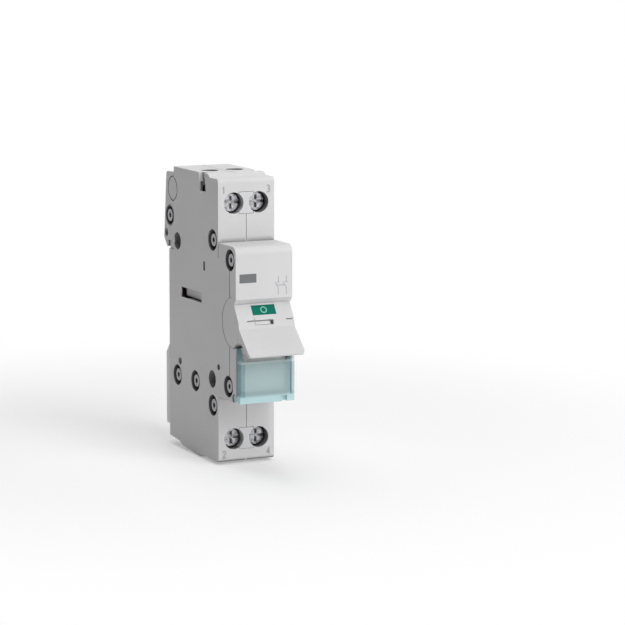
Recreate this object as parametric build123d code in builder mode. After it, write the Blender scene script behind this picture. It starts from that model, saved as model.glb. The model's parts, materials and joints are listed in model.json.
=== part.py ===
from build123d import *
from math import cos, radians, sin
import os

# A two pole switch disconnector, one module wide, that clips on a 35 mm rail.
# X is the width, Y the depth with the rail seat at 0 and the front towards minus Y,
# and Z the height with the middle of the rail at 0. All sizes are millimetres.
os.makedirs("parts", exist_ok=True)

# Housing
module_width = 17.5
top_above_rail = 40.0
bottom_below_rail = 43.0
terminal_depth = 35.4
nose_depth = 12.0
nose_height = 44.2
nose_drop = 0.95
wall = 1.35
partition_thickness = 0.8
seam_gap = 0.1
seam_relief = 0.12
corner_round = 1.2
nose_round = 2.2
mark_depth = 0.3

# Rail and its hook
rail_height = 35.0
rail_flange = 1.0
rail_clearance = 0.3
hook_overlap = 1.7
hook_reach = 4.45
hook_top_reach = 2.55
hook_side_inset = 0.3
clip_overlap = 4.0

# Toggle
toggle_setback = 2.2
toggle_rise = 0.45
drum_radius = 7.17
drum_clearance = 0.08
toggle_swing = 73.6
toggle_side_gap = 0.1
disc_thickness = 1.15
core_wall = 1.6
blade_reach = 13.5
blade_tip_thickness = 1.0
blade_rib = 0.8
face_line = 4.8
facet_bend = 0.98
blade_root = 4.06
blade_corner = 0.9
lock_start = -5.9
lock_end = 2.2
lock_window = 1.1
lock_ear = 6.2
crank_radius = 4.0
link_thickness = 1.0
link_height = 2.4
link_side_gap = 0.2
link_pin_radius = 0.8
pin_clearance = 0.05
front_pin_reach = 2.5
rear_pin_reach = 1.75
flag_width = 7.2
off_flag_height = 3.0
on_flag_height = 3.0
flag_thickness = 0.5
flag_gap = 0.05

# Contact carrier and contacts
carrier_gap = 4.0
carrier_radius = 4.0
carrier_side_gap = 0.8
axle_radius = 1.5
axle_seat = 0.7
contact_side_inset = 0.3
contact_thickness = 1.5
contact_half_length = 9.9
contact_pad = 0.8
contact_pad_height = 3.0
contact_pad_step = 0.4
contact_gap = 0.15
strip_thickness = 1.5
strip_side_gap = 0.15
strip_overrun = 0.5
bend_clearance = 1.6
leg_start = 6.0

# Terminals
upper_screw_drop = 7.8
lower_screw_rise = 7.2
well_radius = 3.05
well_floor = 0.6
head_recess = 2.4
head_radius = 2.85
head_thickness = 1.6
head_slot = 0.8
head_slot_depth = 0.9
screw_radius = 2.0
screw_length = 8.4
screw_clearance = 0.1
thread_pitch = 0.7
cage_turns = 5
cage_wall = 0.8
cage_nut = 1.2
cage_side_gap = 0.25
cage_height = 7.5
cage_depth = 12.3
wire_radius = 2.6
wire_guide_wall = 0.7
upper_guide_length = 3.7
lower_guide_length = 3.1
tab_half_width = 2.2
chamber_floor = 1.0

# Rivets
rivet_edge = 4.0
rivet_step_rise = 0.35
rivet_hinge_setback = 5.2
rivet_low_drop = 3.25
rivet_middle_rise = 1.85
rivet_rear_inset = 5.75
rivet_rear_rise = 1.55
hook_rivet_setback = 0.1
hook_rivet_drop = 12.9
rivet_radius = 1.2
rivet_head_radius = 1.8
rivet_head_thickness = 0.7
rivet_bore = 0.75
rivet_bore_depth = 1.0
rivet_seat_depth = 1.1
post_wall = 1.1
counterbore_radius = 3.1
hook_counterbore_radius = 2.8
counterbore_depth = 1.95
cup_wall = 0.45

# Accessory places and small marks on the side walls
accessory_radius = 2.55
accessory_depth = 4.0
upper_hole_inset = 6.1
upper_hole_drop = 2.8
lower_hole_setback = 4.4
lower_hole_rise = 4.35
slot_start = 11.8
slot_end = 26.5
slot_low = 2.7
slot_high = 5.7
slot_floor = 0.6
slot_floor_reach = 13.9
slot_floor_gap = 0.35
thin_lip = 0.35
lip_recess = 4.0
notch_setback = 11.75
notch_half_width = 2.05
notch_depth = 5.3
notch_lean = 1.1
step_line_drop = 2.4
step_line_length = 3.8
nose_line_setback = 4.3
upper_line_rise = 11.0
upper_line_length = 8.4
lower_line_drop = 12.2
lower_line_length = 10.4
key_mark_setback = 9.93
key_mark_rise = 13.8
key_mark_width = 1.2
key_mark_height = 2.6
hook_hole_inset = 1.65
hook_hole_rise = 2.4
hook_hole_radius = 1.25
hook_hole_depth = 3.0
rear_hole_inset = 7.7
rear_hole_rise = 6.0
rear_hole_radius = 1.2
front_hole_reach = 0.1
front_hole_rise = 8.5
front_hole_radius = 0.9
ring_inset = 2.4
ring_drop = 6.6
ring_radius = 3.75
ring_line = 0.35

# Rail clip
clip_travel = 4.3
clip_gap = 0.2
clip_thickness = 3.5
clip_side_inset = 0.55
clip_rise = 5.6
clip_bite = 0.15
clip_nose = 2.6
neck_half_width = 2.2
head_half_width = 3.6
key_drop = 1.5
key_height = 8.0
key_thickness = 1.75
key_foot = 1.9
spring_radius = 1.2
spring_wire = 0.35
spring_turns = 8
driver_slot = 5.0
driver_slot_height = 2.0

# Label cover
cover_front = 2.3
cover_wall = 1.15
cover_side_inset = 0.35
cover_height = 11.8
cover_ear = 3.7
cover_floor = 2.2
cover_gap = 0.1
knuckle_radius = 1.2
knuckle_length = 2.7
pivot_stub_radius = 0.6
pivot_stub_length = 1.4
pocket_depth = 1.2
pocket_inset = 1.2
pocket_height = 10.7
pocket_rise = 2.7
pocket_backing = 1.4
label_thickness = 0.3
label_gap = 0.1
finger_width = 1.6

# Places that follow from the sizes above
half = module_width / 2
inner_half = half - wall
half_partition = partition_thickness / 2
pole = (half_partition + inner_half) / 2
chamber_width = inner_half - half_partition
front = -terminal_depth
nose_front = front - nose_depth
top = top_above_rail
bottom = -bottom_below_rail
nose_top = nose_height / 2 - nose_drop
nose_bottom = -nose_height / 2 - nose_drop
rail_edge = rail_height / 2
drum = (nose_front + toggle_setback, toggle_rise - nose_drop)
seat_radius = drum_radius + drum_clearance
knuckle = (nose_front + knuckle_radius, nose_bottom + knuckle_radius)
cover_width = module_width - 2 * cover_side_inset
knuckle_inside = cover_width / 2 - knuckle_length
pocket_width = cover_width - 2 * pocket_inset
well_depth = head_recess + head_thickness + screw_clearance
well_end = front + well_depth + well_floor
cage_front = well_end + screw_clearance + thread_pitch * cage_turns
strip_front = front + head_recess + head_thickness + screw_length + screw_clearance
strip_rear = strip_front + strip_thickness
rotor = (strip_front + carrier_gap, drum[1])
wire_line = strip_rear + wire_radius + screw_clearance
cage_width = chamber_width - 2 * cage_side_gap
strip_width = cage_width - 2 * cage_wall - 2 * strip_side_gap
contact_width = strip_width - 2 * contact_side_inset
contact_pad_width = contact_width - 2 * contact_pad_step
upper_screw_height = top - upper_screw_drop
lower_screw_height = bottom + lower_screw_rise
clip_width = module_width - 2 * clip_side_inset
clip_bottom = bottom + clip_rise
key_top = -rail_edge - key_drop
poles = {1: -pole, 2: pole}
lean = radians(toggle_swing / 2)


def side_plane(x):
    """The plane across the width at x, with depth and height as its own axes."""
    return Plane(origin=(x, 0, 0), x_dir=(0, 1, 0), z_dir=(1, 0, 0))


def depth_plane(y):
    """The upright plane that faces the front at depth y."""
    return Plane.XZ.offset(-y)


def toggle_point(u, v):
    """A point given along and across the blade, in the side view at rest."""
    return (
        drum[0] - u * cos(lean) - v * sin(lean),
        drum[1] - u * sin(lean) + v * cos(lean),
    )


def toggle_shape(*points):
    """The toggle points of a polygon, ready to draw."""
    return [toggle_point(u, v) for u, v in points]


def corner_at(sketch, y, z):
    """The corner of a side view sketch that lies nearest to a point."""
    return sketch.vertices().sort_by_distance(Vector(y, z))[0]


def save(part, name):
    part.label = name
    export_step(part, f"parts/{name}.step")


# The outline of the moulded housing seen from the side
shelf = 0.5
belly = 13.2
belly_start = 8.7
heel = 28.3
heel_rise = 1.9
rear_rise = 2.4
top_front_drop = 0.85
top_front_length = 7.0
rear_step = 3.65
seat_relief = 0.3
hook_top = top - 1.85
hook_tip = rail_edge - hook_overlap
slot_depth = rail_flange + rail_clearance
relief_top = rail_edge + rail_clearance
seat_top = hook_tip - rail_clearance
seat_low = clip_overlap - rail_edge + rail_clearance

with BuildSketch(side_plane(0)) as outline:
    with BuildLine():
        Polyline(
            (front, bottom + shelf),
            (front + belly_start, bottom + rear_rise / 3),
            (front + belly, bottom),
            (front + heel - 2 * corner_round, bottom + heel_rise / 2),
            (front + heel, bottom + heel_rise),
            (0, bottom + rear_rise),
            (0, -relief_top),
            (-seat_relief, -relief_top),
            (-seat_relief, seat_low),
            (0, seat_low),
            (0, seat_top),
            (-seat_relief, seat_top),
            (-seat_relief, relief_top),
            (slot_depth, relief_top),
            (slot_depth, hook_tip + seat_relief),
            (slot_depth + seat_relief, hook_tip),
            (slot_depth + hook_overlap / 2, hook_tip),
            (hook_reach, hook_tip + hook_overlap * 1.5),
            (hook_top_reach, hook_top),
            (-rear_step, hook_top),
            (-rear_step, top),
            (front + top_front_length, top),
            (front + top_front_length - corner_round, top - top_front_drop),
            (front, top - top_front_drop),
            (front, nose_top),
            (nose_front, nose_top),
            (nose_front, nose_bottom),
            (front, nose_bottom),
            (front, bottom + shelf),
        )
    make_face()
    fillet(corner_at(outline, front, bottom + shelf), corner_round)
    fillet(corner_at(outline, front, top - top_front_drop), corner_round)
    fillet(corner_at(outline, nose_front, nose_top), nose_round)
    fillet(corner_at(outline, nose_front, nose_bottom), knuckle_radius)
    fillet(corner_at(outline, hook_top_reach, hook_top), corner_round)
    fillet(corner_at(outline, hook_reach, hook_tip + hook_overlap * 1.5), corner_round)

# The hollow inside, with the nose joined to the body
floor_line = bottom + rear_rise + wall
roof_line = top - top_front_drop - wall
hollow_points = [
    (front + wall, bottom + shelf + wall),
    (front + belly_start, bottom + rear_rise / 3 + wall),
    (front + heel, bottom + heel_rise + wall),
    (-wall, floor_line),
    (-wall, hook_top - wall),
    (-rear_step - wall, top - wall),
    (front + wall, roof_line),
    (front + wall, nose_top - wall),
    (nose_front + wall, nose_top - wall),
    (nose_front + wall, nose_bottom + wall),
    (front + wall, nose_bottom + wall),
]
with BuildSketch(side_plane(0)) as hollow:
    Polygon(*hollow_points, align=None)

# The fine groove that the two halves leave along their seam, left out on the nose and beyond
# the screws, where the front is smooth
with BuildSketch(side_plane(0)) as seam_line:
    add(outline.sketch_local)
    add(offset(outline.sketch_local, amount=-mark_depth, mode=Mode.PRIVATE), mode=Mode.SUBTRACT)
    with Locations((front, 0)):
        Rectangle(2 * nose_depth, 2 * bottom_below_rail, align=(Align.MAX, Align.CENTER), mode=Mode.SUBTRACT)
    with Locations((front, upper_screw_height)):
        Rectangle(2 * top_front_length, top_above_rail, align=(Align.CENTER, Align.MIN), mode=Mode.SUBTRACT)
    with Locations((front, lower_screw_height)):
        Rectangle(2 * belly_start, top_above_rail, align=(Align.CENTER, Align.MAX), mode=Mode.SUBTRACT)

# The round seat of the toggle, open at the front of the nose, and the wall round it
lip_tip = toggle_point(-2.42, 5.01)
lip_root = toggle_point(-3.88, 6.12)
lip_length = 1.35
ledge = (seat_radius**2 - toggle_setback**2) ** 0.5

with BuildSketch(side_plane(0)) as toggle_seat:
    with Locations(drum):
        Circle(seat_radius)
    Polygon(
        drum,
        (drum[0], drum[1] - ledge),
        (nose_front - wall, drum[1] - ledge),
        (nose_front - wall, lip_tip[1] + 2 * lip_length),
        lip_tip,
        align=None,
    )
    Polygon(
        lip_tip,
        (nose_front, lip_tip[1] + lip_length),
        (nose_front - wall, lip_root[1] + lip_length),
        (lip_root[0], lip_root[1] + lip_length),
        lip_root,
        align=None,
        mode=Mode.SUBTRACT,
    )

with BuildSketch(side_plane(0)) as seat_wall:
    with Locations(drum):
        Circle(seat_radius + post_wall)
    with Locations((nose_front + wall / 2, drum[1])):
        Rectangle(
            2 * seat_radius, 4 * seat_radius, align=(Align.MAX, Align.CENTER), mode=Mode.SUBTRACT
        )

# Where the rivets, the accessory holes and the other side marks lie
rivet_places = [
    (front + rivet_edge, nose_top + rivet_step_rise),
    (nose_front + rivet_edge, nose_top - rivet_edge),
    (nose_front + rivet_hinge_setback, nose_bottom + rivet_edge),
    (front + rivet_edge, nose_bottom - rivet_low_drop),
    (rotor[0], nose_bottom + rivet_middle_rise),
    (-rivet_rear_inset, nose_bottom + rivet_rear_rise),
    (hook_rivet_setback, hook_top - hook_rivet_drop),
]
hook_rivet = rivet_places[-1]
accessory_holes = [
    (-upper_hole_inset, nose_top - upper_hole_drop),
    (front + lower_hole_setback, nose_bottom + lower_hole_rise),
]
accessory_slot = (front + slot_start, front + slot_end, drum[1] + slot_low, drum[1] + slot_high)
notch_middle = front + notch_setback
fine_lines = [
    (front, nose_top - step_line_drop, step_line_length),
    (nose_front + nose_line_setback, drum[1] + upper_line_rise, upper_line_length),
    (nose_front + nose_line_setback, drum[1] - lower_line_drop, lower_line_length),
]
small_holes = [
    (-rear_hole_inset, nose_bottom + rear_hole_rise, rear_hole_radius),
    (front - front_hole_reach, nose_bottom + front_hole_rise, front_hole_radius),
]


def grow(side, start, end, shape, mode=Mode.ADD):
    """Extrude a side view shape from one distance off the seam to another."""
    extrude(shape.sketch.moved(Location((side * start, 0, 0))), amount=side * (end - start), mode=mode)


def disc(place, radius):
    """A round side view shape."""
    with BuildSketch(side_plane(0)) as shape:
        with Locations(place):
            Circle(radius)
    return shape


def block(y_low, y_high, z_low, z_high):
    """A rectangular side view shape between two depths and two heights."""
    with BuildSketch(side_plane(0)) as shape:
        with Locations(((y_low + y_high) / 2, (z_low + z_high) / 2)):
            Rectangle(y_high - y_low, z_high - z_low)
    return shape


def terminal_walls(side):
    """The blocks round the screw wells, the wire guides and the chamber floors."""
    reach = well_radius + post_wall
    for height in (upper_screw_height, lower_screw_height):
        wells = block(front + wall / 2, well_end, height - reach, height + reach)
        grow(side, half_partition, inner_half, wells)
    guide = wire_radius + wire_guide_wall
    for low, high in ((top - upper_guide_length, top - wall), (bottom + wall, bottom + lower_guide_length)):
        grow(side, half_partition, inner_half, block(wire_line - guide, wire_line + guide, low, high))
    upper_floor = upper_screw_height - cage_height / 2 - chamber_floor
    lower_floor = lower_screw_height + cage_height / 2 + chamber_floor
    for middle in (upper_floor, lower_floor):
        floor = block(front + wall / 2, strip_front, middle - chamber_floor / 2, middle + chamber_floor / 2)
        grow(side, half_partition, inner_half, floor)


def rivet_bosses(side):
    """Posts that meet at the partition, with a wider cup under each rivet head."""
    for place in rivet_places:
        grow(side, half_partition, inner_half, disc(place, rivet_radius + post_wall))
        cup_start = half - counterbore_depth - cup_wall
        radius = hook_counterbore_radius if place == hook_rivet else counterbore_radius
        grow(side, cup_start, inner_half, disc(place, radius + cup_wall))


def rivet_holes(side):
    """The counterbore that shows as a dark ring, the post in it and the shaft hole."""
    for place in rivet_places:
        radius = hook_counterbore_radius if place == hook_rivet else counterbore_radius
        grow(side, half - counterbore_depth, half, disc(place, radius), Mode.SUBTRACT)
        grow(side, half - counterbore_depth, half - rivet_seat_depth, disc(place, rivet_head_radius))
        grow(side, 0, half, disc(place, rivet_radius + pin_clearance), Mode.SUBTRACT)


def front_openings(side):
    """Screw wells, the window of the partition's tab, and the wire entries."""
    for height in (upper_screw_height, lower_screw_height):
        with BuildSketch(depth_plane(front)) as wells:
            with Locations((side * pole, height)):
                Circle(well_radius)
            with Locations((0, height)):
                Rectangle(2 * (tab_half_width + seam_gap), 2 * (well_radius + seam_gap))
        extrude(wells.sketch, amount=-well_depth, mode=Mode.SUBTRACT)
        with BuildSketch(depth_plane(front)) as shank:
            with Locations((side * pole, height)):
                Circle(screw_radius + screw_clearance)
        extrude(shank.sketch, amount=-2 * well_depth, mode=Mode.SUBTRACT)
    for level, length in ((top, -upper_guide_length), (bottom, lower_guide_length)):
        with BuildSketch(Plane.XY.offset(level)) as entry:
            with Locations((side * pole, wire_line)):
                Circle(wire_radius)
        extrude(entry.sketch, amount=length, mode=Mode.SUBTRACT)


def label_seat(side):
    """The pocket of the label, its backing, and the bearings of the cover."""
    backing = block(nose_front + wall / 2, nose_front + wall + pocket_backing, nose_bottom + wall / 2,
                    knuckle[1] + cover_height)
    grow(side, 0, inner_half, backing)
    with BuildSketch(depth_plane(nose_front)) as pocket:
        with Locations((0, nose_bottom + pocket_rise)):
            Rectangle(pocket_width, pocket_height, align=(Align.CENTER, Align.MIN))
    extrude(pocket.sketch, amount=-pocket_depth, mode=Mode.SUBTRACT)
    grow(side, knuckle_inside - cover_gap, half, disc(knuckle, knuckle_radius + cover_gap), Mode.SUBTRACT)
    stub_end = knuckle_inside - pivot_stub_length - cover_gap
    grow(side, stub_end, half, disc(knuckle, pivot_stub_radius + pin_clearance), Mode.SUBTRACT)


def side_details(side):
    """The busbar notch, the rail clip's groove, the carrier's bearing and fine grooves."""
    with BuildSketch(side_plane(0)) as notch:
        Polygon(
            (notch_middle - notch_half_width, top + wall),
            (notch_middle - notch_half_width - notch_lean, top - notch_depth),
            (notch_middle + notch_half_width - notch_lean, top - notch_depth),
            (notch_middle + notch_half_width, top + wall),
            align=None,
        )
    grow(side, inner_half, half, notch, Mode.SUBTRACT)
    recess_front, recess_low = notch_middle - lip_recess, top - notch_depth - cup_wall
    recess = block(recess_front, recess_front + 1.5 * lip_recess, recess_low, top - notch_depth / 2)
    grow(side, inner_half, half - thin_lip, recess, Mode.SUBTRACT)
    groove_low = key_top - key_height - clip_travel - rail_clearance
    groove = block(-2 * wall, wall, groove_low, key_top + rail_clearance)
    grow(side, 0, neck_half_width + seam_gap, groove, Mode.SUBTRACT)
    grow(side, 0, half - wall + axle_seat, disc(rotor, axle_radius + pin_clearance), Mode.SUBTRACT)
    with BuildSketch(side_plane(0)) as lines:
        for depth, height, length in fine_lines:
            with Locations((depth, height)):
                Rectangle(mark_depth, length)
    grow(side, half - mark_depth, half, lines, Mode.SUBTRACT)


def left_openings(side):
    """Holes, a slot and small sinks that only the left side carries, for accessories."""
    for place in accessory_holes:
        socket_end = half - accessory_depth
        grow(side, socket_end - post_wall, inner_half, disc(place, accessory_radius + post_wall))
        grow(side, socket_end, half, disc(place, accessory_radius), Mode.SUBTRACT)
    slot_front, slot_back, slot_bottom, slot_top = accessory_slot
    high = slot_top + cup_wall
    recess = block(slot_back - lip_recess, slot_back + lip_recess, slot_bottom - cup_wall, high)
    grow(side, inner_half, half - thin_lip, recess, Mode.SUBTRACT)
    grow(side, inner_half, half, block(*accessory_slot), Mode.SUBTRACT)
    floor_end, floor_low = slot_front + slot_floor_reach, slot_bottom + slot_floor_gap
    floor = block(slot_front - cup_wall, floor_end, floor_low, high + cup_wall)
    grow(side, inner_half - slot_floor, inner_half, floor)
    hook_hole = disc((hook_reach - hook_hole_inset, rail_edge + hook_hole_rise), hook_hole_radius)
    grow(side, half - hook_hole_depth, half, hook_hole, Mode.SUBTRACT)
    with BuildSketch(side_plane(0)) as through:
        with Locations((front + key_mark_setback, drum[1] + key_mark_rise)):
            Rectangle(key_mark_width, key_mark_height)
        for depth, height, radius in small_holes:
            with Locations((depth, height)):
                Circle(radius)
    grow(side, inner_half, half, through, Mode.SUBTRACT)
    with BuildSketch(side_plane(0)) as ring:
        with Locations((-ring_inset, top - ring_drop)):
            Circle(ring_radius)
            Circle(ring_radius - ring_line, mode=Mode.SUBTRACT)
    grow(side, half - 2 * mark_depth, half, ring, Mode.SUBTRACT)


def make_shell(side):
    """One half of the housing, from the seam to its outer face."""
    with BuildPart() as shell:
        grow(side, 0, half, outline)
        grow(side, 0, inner_half, hollow, Mode.SUBTRACT)
        terminal_walls(side)
        rivet_bosses(side)
        grow(side, link_thickness, inner_half, seat_wall)
        label_seat(side)
        rivet_holes(side)
        front_openings(side)
        grow(side, 0, half, toggle_seat, Mode.SUBTRACT)
        hook_side = block(-rear_step, 2 * hook_reach, seat_top, top + wall)
        grow(side, half - hook_side_inset, half, hook_side, Mode.SUBTRACT)
        side_details(side)
        if side < 0:
            left_openings(side)
        grow(side, 0, seam_relief, seam_line, Mode.SUBTRACT)
    return shell.part


save(make_shell(-1), "housing_left")
save(make_shell(1), "housing_right")

# The insulating partition between the poles, with a tab between each pair of screws
clip_room = wall + key_thickness + key_foot
with BuildPart() as partition:
    with BuildSketch(side_plane(-half_partition)):
        add(offset(hollow.sketch_local, amount=-seam_gap, mode=Mode.PRIVATE))
        with Locations((-clip_room / 2, floor_line)):
            Rectangle(2 * clip_room, 2 * (key_top - floor_line + wall), mode=Mode.SUBTRACT)
        with Locations(drum):
            Circle(seat_radius + rail_clearance, mode=Mode.SUBTRACT)
        with Locations((nose_front, drum[1])):
            Rectangle(2 * (wall + pocket_backing), 2 * seat_radius + wall, mode=Mode.SUBTRACT)
        with Locations((nose_front + wall + pocket_backing + seam_gap, drum[1])):
            Rectangle(
                nose_depth, nose_height, align=(Align.MAX, Align.MAX), mode=Mode.SUBTRACT
            )
        window_rear = rotor[0] + crank_radius + rail_clearance
        window_top = rotor[1] + axle_radius + rail_clearance
        window_low = rotor[1] - crank_radius - 2 * link_pin_radius - rail_clearance
        with Locations((window_rear, window_top)):
            Rectangle(
                window_rear - drum[0],
                window_top - window_low,
                align=(Align.MAX, Align.MAX),
                mode=Mode.SUBTRACT,
            )
        with Locations(*rivet_places):
            Circle(rivet_radius + pin_clearance, mode=Mode.SUBTRACT)
    extrude(amount=partition_thickness)
    with BuildSketch(depth_plane(front)):
        for height in (upper_screw_height, lower_screw_height):
            with Locations((0, height)):
                Rectangle(2 * tab_half_width, 2 * well_radius)
            with Locations((-pole, height), (pole, height)):
                Circle(well_radius, mode=Mode.SUBTRACT)
    extrude(amount=-well_depth + seam_gap)
    with BuildSketch(side_plane(-half_partition)):
        for height in (upper_screw_height, lower_screw_height):
            with Locations((front, height)):
                Rectangle(well_depth, 2 * well_radius, align=(Align.MIN, Align.CENTER))
    extrude(amount=partition_thickness)
save(partition.part, "partition")

# Toggle, drawn along and across its blade in the off position
upper_facet = [(-3.95, 5.98), (-2.2, 4.46), (facet_bend, 3.36), (2.6, 2.75), (blade_root, 1.42)]
toggle_half = half - toggle_side_gap
inner_toggle = toggle_half - disc_thickness
far = 2 * drum_radius
thin_slot = [(2.5, 3.6), (2.9, 3.27), (2.0, 1.3), (1.7, 1.5)]
flag_line = [(1.1, 3.6), (2.7, 3.1), (3.6, 2.3), (3.2, 1.95), (2.5, 2.6), (1.1, 3.1)]
lock_cuts = [
    (lock_start, lock_end, thin_slot),
    (lock_ear, toggle_half, thin_slot),
    (lock_window, lock_end, [(2.5, 3.6), (3.7, 2.6), (2.6, 0.9), (1.7, 1.5)]),
    (lock_start + 2 * corner_round, lock_window, [(3.7, 2.6), (3.16, 1.77), (3.06, 1.83), (3.6, 2.67)]),
    (-flag_width / 2, seam_relief - flag_width / 2, flag_line),
]
outside = [(face_line, 1), (face_line, -far), (far, -far), (far, far), (-far / 2, far)]

with BuildPart() as toggle:
    with BuildSketch(side_plane(-toggle_half)):
        with Locations(drum):
            Circle(drum_radius)
        Polygon(*toggle_shape(*upper_facet, *outside), align=None, mode=Mode.SUBTRACT)
        Polygon(
            *toggle_shape(
                (facet_bend, 2),
                (2.6, 2.75),
                (blade_root, 1.42),
                (blade_reach - blade_tip_thickness / 2, blade_tip_thickness / 2),
                (blade_reach, 0),
                (blade_reach, -blade_tip_thickness / 2),
                (face_line, -blade_tip_thickness),
                (facet_bend, -blade_tip_thickness),
            ),
            align=None,
        )
    extrude(amount=2 * toggle_half)
    # The hollow between the side discs, behind the core
    with BuildSketch(side_plane(-inner_toggle)):
        with Locations(drum):
            Circle(drum_radius + seam_gap)
            Circle(crank_radius + core_wall, mode=Mode.SUBTRACT)
        Polygon(
            *toggle_shape((-3, far), (-3, 4.2), (0, 3), (2, 2), (2, -far), (far, -far), (far, far)),
            align=None,
            mode=Mode.SUBTRACT,
        )
    extrude(amount=2 * inner_toggle, mode=Mode.SUBTRACT)
    # The rounded corners of the blade's tip
    with BuildSketch(Plane(origin=(0, *drum), x_dir=(1, 0, 0), z_dir=(0, sin(lean), -cos(lean)))):
        for side in (-1, 1):
            with Locations((side * toggle_half, blade_reach)):
                Rectangle(2 * blade_corner, 2 * blade_corner)
            with Locations((side * (toggle_half - blade_corner), blade_reach - blade_corner)):
                Circle(blade_corner, mode=Mode.SUBTRACT)
    extrude(amount=2 * blade_tip_thickness, both=True, mode=Mode.SUBTRACT)
    # Stiffening ribs behind the blade
    for middle in (disc_thickness - toggle_half, 0, toggle_half - disc_thickness):
        with BuildSketch(side_plane(middle - blade_rib / 2)):
            Polygon(
                *toggle_shape(
                    (facet_bend, -0.5), (blade_reach - 1.5, -0.4), (face_line + 3, -1.9), (facet_bend, -2.6)
                ),
                align=None,
            )
        extrude(amount=blade_rib)
    # The slot and the bore of the link
    with BuildSketch(side_plane(-link_thickness / 2 - link_side_gap)):
        Polygon(
            *toggle_shape((1.8, -crank_radius), (1.8, -far), (-far, -far), (-far, 8.45), (0, -2.31)),
            align=None,
        )
        with Locations(toggle_point(0, -crank_radius)):
            Circle(link_pin_radius + 1)
    extrude(amount=link_thickness + 2 * link_side_gap, mode=Mode.SUBTRACT)
    with BuildSketch(side_plane(-front_pin_reach)):
        with Locations(toggle_point(0, -crank_radius)):
            Circle(link_pin_radius)
    extrude(amount=2 * front_pin_reach, mode=Mode.SUBTRACT)
    # The lock slot where the blade meets the flag facet: a thin slot that ends in a square
    # window, a fine line under it, another down from the flag, and a slot in the ear
    for start, end, shape in lock_cuts:
        with BuildSketch(side_plane(start)):
            Polygon(*toggle_shape(*shape), align=None)
        extrude(amount=end - start, mode=Mode.SUBTRACT)

# The planes of the two flag fields, with X across and Y along each face
facet_start = toggle_point(facet_bend - 0.25, 3.45)
facet_end = toggle_point(-2.2, 4.46)
face_middle = toggle_point(face_line, -3)
off_plane = Plane(
    origin=(0, *facet_start),
    x_dir=(1, 0, 0),
    z_dir=(0, facet_start[1] - facet_end[1], facet_end[0] - facet_start[0]),
)
on_plane = Plane(origin=(0, *face_middle), x_dir=(1, 0, 0), z_dir=(0, -cos(lean), -sin(lean)))


def flag_inlay(plane, height, middle, gap=0):
    """A thin plate let into a face, its outer surface flush with it."""
    with BuildPart() as inlay:
        with BuildSketch(plane):
            with Locations((0, middle)):
                Rectangle(flag_width + 2 * gap, height + 2 * gap)
        extrude(amount=-flag_thickness)
    return inlay.part


off_middle = off_flag_height / 2
with BuildPart() as flagged_toggle:
    add(toggle.part)
    add(flag_inlay(off_plane, off_flag_height, off_middle, flag_gap), mode=Mode.SUBTRACT)
    add(flag_inlay(on_plane, on_flag_height, 0, flag_gap), mode=Mode.SUBTRACT)
save(flagged_toggle.part, "toggle")
save(flag_inlay(off_plane, off_flag_height, off_middle), "off_flag")
save(flag_inlay(on_plane, on_flag_height, 0), "on_flag")

# The link and the two pins it turns on
crank = (crank_radius * sin(lean), -crank_radius * cos(lean))
front_pin = (drum[0] + crank[0], drum[1] + crank[1])
rear_pin = (rotor[0] + crank[0], rotor[1] + crank[1])

with BuildPart() as link:
    with BuildSketch(side_plane(-link_thickness / 2)):
        with Locations(front_pin, rear_pin):
            Circle(2 * link_pin_radius)
        with Locations(((front_pin[0] + rear_pin[0]) / 2, front_pin[1])):
            Rectangle(rear_pin[0] - front_pin[0], link_height)
        with Locations(front_pin, rear_pin):
            Circle(link_pin_radius + pin_clearance, mode=Mode.SUBTRACT)
    extrude(amount=link_thickness)
save(link.part, "link")

link_pins = {"toggle_link_pin": (front_pin, front_pin_reach), "carrier_link_pin": (rear_pin, rear_pin_reach)}
for name, (place, reach) in link_pins.items():
    with BuildPart() as link_pin:
        with BuildSketch(side_plane(-reach)):
            with Locations(place):
                Circle(link_pin_radius)
        extrude(amount=2 * reach)
        chamfer(link_pin.edges().filter_by(GeomType.CIRCLE), pin_clearance * 2)
    save(link_pin.part, name)

# The contact carrier, a split drum on one axle, drawn in its off position
carrier_half = inner_half - carrier_side_gap
web_start = link_thickness / 2 + link_side_gap
bar_turn = radians(toggle_swing)


def bar_plane(x):
    """The side plane at x turned about the carrier so that its y runs along a contact bar."""
    return Plane(origin=(x, *rotor), x_dir=(0, cos(bar_turn), sin(bar_turn)), z_dir=(1, 0, 0))


with BuildPart() as carrier:
    with BuildSketch(side_plane(-half + wall - axle_seat + cover_gap)):
        with Locations(rotor):
            Circle(axle_radius)
    extrude(amount=2 * (half - wall + axle_seat - cover_gap))
    for side in (-1, 1):
        with BuildSketch(side_plane(side * web_start)):
            with Locations(rotor):
                Circle(carrier_radius)
        extrude(amount=side * (carrier_half - web_start))
        with BuildSketch(side_plane(side * web_start)):
            with Locations(rear_pin):
                Circle(2 * link_pin_radius)
        extrude(amount=side * (rear_pin_reach - web_start))
        with BuildSketch(side_plane(side * web_start)):
            with Locations(rear_pin):
                Circle(link_pin_radius)
        extrude(amount=side * (rear_pin_reach - web_start), mode=Mode.SUBTRACT)
    for x in poles.values():
        with BuildSketch(bar_plane(x - contact_width / 2 - seam_gap)):
            Rectangle(contact_thickness + seam_gap, 3 * carrier_radius)
        extrude(amount=contact_width + 2 * seam_gap, mode=Mode.SUBTRACT)
save(carrier.part, "contact_carrier")

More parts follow.
